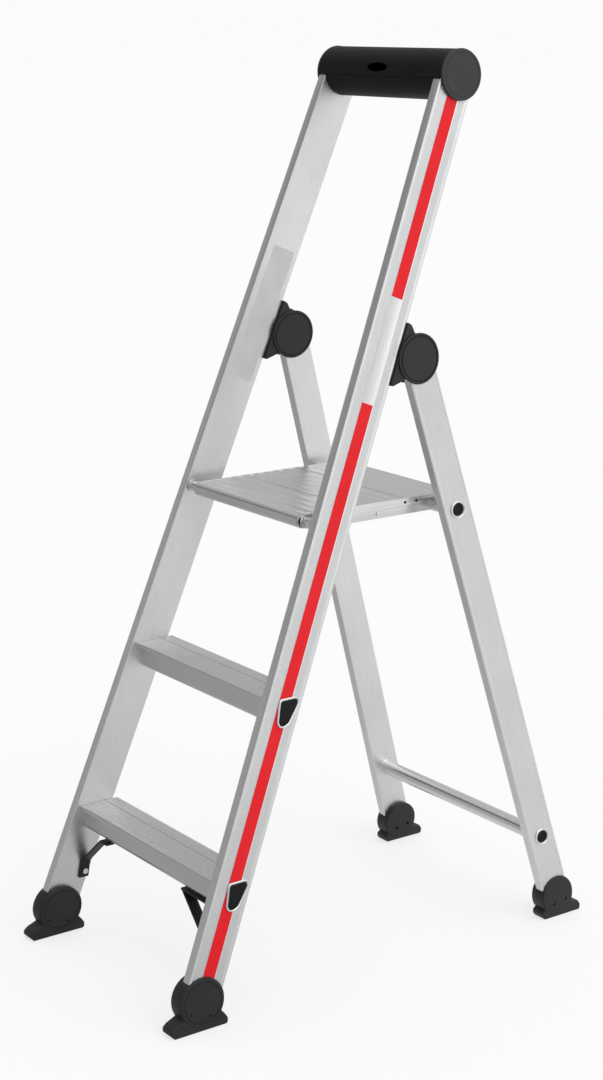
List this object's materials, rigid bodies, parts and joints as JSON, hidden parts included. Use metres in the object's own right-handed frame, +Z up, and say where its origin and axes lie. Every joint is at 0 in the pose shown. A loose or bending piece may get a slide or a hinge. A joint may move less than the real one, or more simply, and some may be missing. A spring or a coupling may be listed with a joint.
{
  "type": "folding platform step-ladder",
  "caption": "Folding aluminium step-ladder with ribbed treads, a hinged standing platform, a raised round hand rail and black plastic feet and hinge housings.",
  "frame": {"origin": "middle of the footprint on the floor, midway between the left and right sides, with the ladder standing open", "axes": "+X is the climber's right when facing the treads, +Y points from the treads to the rear legs, +Z is up"},
  "size_m": [0.4304, 0.771, 1.3403],
  "materials": {
    "anodised_profile": "satin silver anodised extrusion with fine lengthwise lines; the front stiles carry a red band along their outer faces",
    "ribbed_tread": "extruded aluminium with fine non-slip ribs along its length, semi-gloss",
    "black_plastic": "black injection-moulded plastic, fine satin texture",
    "black_steel": "black powder-coated steel strip, semi-matt",
    "zinc_hardware": "bright zinc-plated steel"
  },
  "bodies": {
    "front_frame": {"front_stile_right": "anodised_profile", "front_stile_left": "anodised_profile", "tread_lower": "ribbed_tread", "tread_upper": "ribbed_tread", "tread_plug_lower_right": "black_plastic", "tread_plug_lower_left": "black_plastic", "tread_plug_upper_right": "black_plastic", "tread_plug_upper_left": "black_plastic", "handle_top_shell": "black_plastic", "handle_bottom_shell": "black_plastic", "handle_end_cap_right": "black_plastic", "handle_end_cap_left": "black_plastic", "hinge_housing_right": "black_plastic", "hinge_housing_left": "black_plastic", "hinge_pin_right": "zinc_hardware", "hinge_pin_left": "zinc_hardware", "hinge_cover_outer_right": "black_plastic", "hinge_cover_outer_left": "black_plastic", "hinge_cover_inner_right": "black_plastic", "hinge_cover_inner_left": "black_plastic", "front_foot_right": "black_plastic", "front_foot_left": "black_plastic", "brace_right": "black_steel", "brace_left": "black_steel", "brace_screw_right": "zinc_hardware", "brace_screw_left": "zinc_hardware", "platform_pivot_bolt_right": "zinc_hardware", "platform_pivot_bolt_left": "zinc_hardware", "platform_pivot_spacer_right": "zinc_hardware", "platform_pivot_spacer_left": "zinc_hardware", "platform_pivot_nut_right": "zinc_hardware", "platform_pivot_nut_left": "zinc_hardware", "platform_pivot_washer_right": "zinc_hardware", "platform_pivot_washer_left": "zinc_hardware"},
    "rear_frame": {"rear_leg_right": "anodised_profile", "rear_leg_left": "anodised_profile", "rear_tube_lower": "anodised_profile", "rear_tube_upper": "anodised_profile", "tube_plug_lower_right": "black_plastic", "tube_plug_lower_left": "black_plastic", "tube_plug_upper_right": "black_plastic", "tube_plug_upper_left": "black_plastic", "rear_foot_right": "black_plastic", "rear_foot_left": "black_plastic"},
    "platform": {"platform_front_board": "ribbed_tread", "platform_middle_board": "ribbed_tread", "platform_rear_board": "ribbed_tread", "platform_side_plate_right": "ribbed_tread", "platform_side_plate_left": "ribbed_tread", "platform_rivet_1_right": "zinc_hardware", "platform_rivet_1_left": "zinc_hardware", "platform_rivet_2_right": "zinc_hardware", "platform_rivet_2_left": "zinc_hardware", "platform_rivet_3_right": "zinc_hardware", "platform_rivet_3_left": "zinc_hardware"}
  },
  "joints": [
    {"name": "rear_frame_fold", "type": "hinge", "parent": "front_frame", "child": "rear_frame", "pos_m": [0, 0.0775, 0.9083], "axis": [-1, 0, 0], "range_deg": [0, 35.5]},
    {"name": "platform_fold", "type": "hinge", "parent": "front_frame", "child": "platform", "pos_m": [0, -0.0985, 0.6883], "axis": [1, 0, 0], "range_deg": [0, 68.6]}
  ],
  "couplings": [
    {"joint": "platform_fold", "follows": "rear_frame_fold", "ratio": 1.93}
  ]
}
